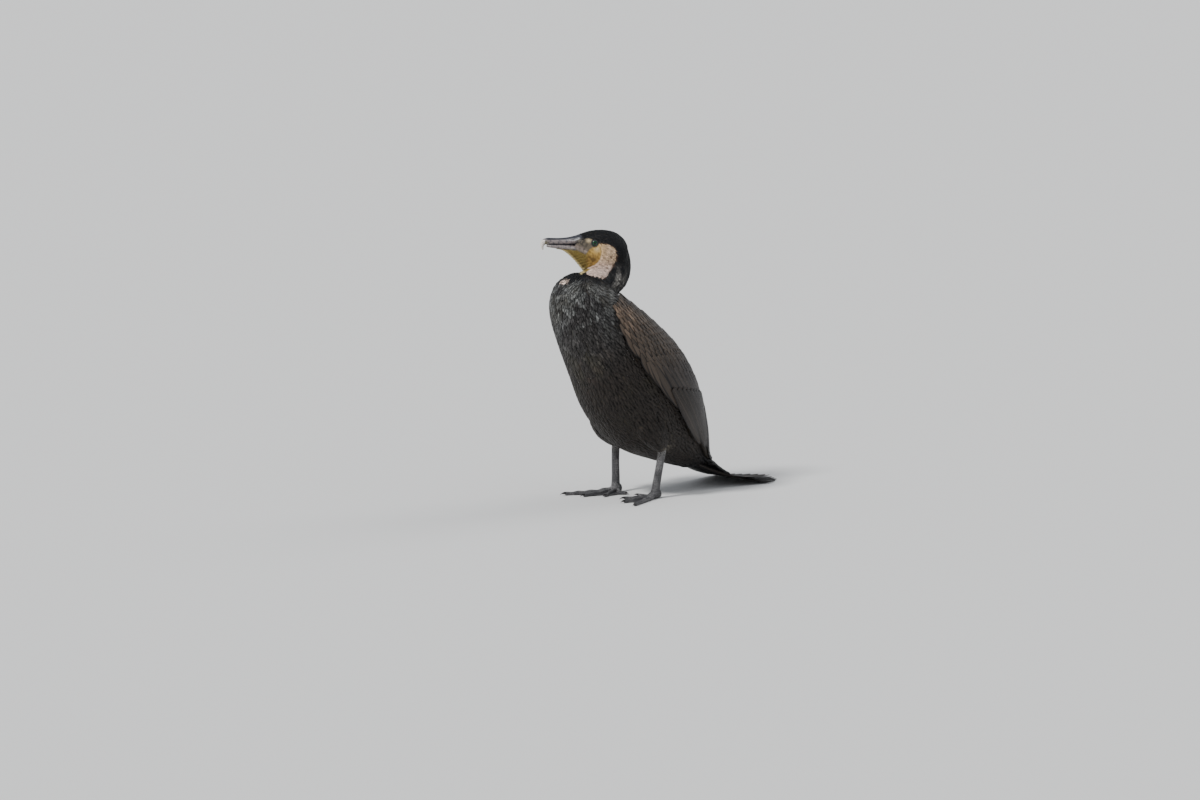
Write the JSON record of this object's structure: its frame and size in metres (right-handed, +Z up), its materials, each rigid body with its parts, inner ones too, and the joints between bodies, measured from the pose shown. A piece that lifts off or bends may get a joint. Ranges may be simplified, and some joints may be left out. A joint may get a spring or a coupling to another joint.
{
  "type": "cormorant",
  "caption": "Life-size cormorant standing upright on webbed feet with its neck folded, its head turned to its right and its tail laid on the floor.",
  "frame": {"origin": "middle of the floor that the bird takes up, level with its soles", "axes": "+Z up; the body faces -Y; +X is the bird's left"},
  "size_m": [0.1766, 0.4592, 0.418],
  "materials": {
    "plumage": "matte feather with a dull sheen",
    "wing": "bronze-brown feather with dark glossy edges",
    "tail": "matte feather",
    "bill": "satin horn",
    "eye": "wet gloss",
    "leg": "scaly satin skin",
    "claw": "satin horn"
  },
  "bodies": {
    "root": {"torso": "plumage", "neck": "plumage", "head": "plumage", "thigh_left": "plumage", "thigh_right": "plumage", "wing_left": "wing", "wing_right": "wing", "tail": "tail", "bill_upper": "bill", "bill_lower": "bill", "eye_left": "eye", "eye_right": "eye", "shank_left": "leg", "shank_right": "leg", "foot_left": "leg", "foot_right": "leg", "claw_left_1": "claw", "claw_left_2": "claw", "claw_left_3": "claw", "claw_left_4": "claw", "claw_right_1": "claw", "claw_right_2": "claw", "claw_right_3": "claw", "claw_right_4": "claw"}
  },
  "joints": []
}
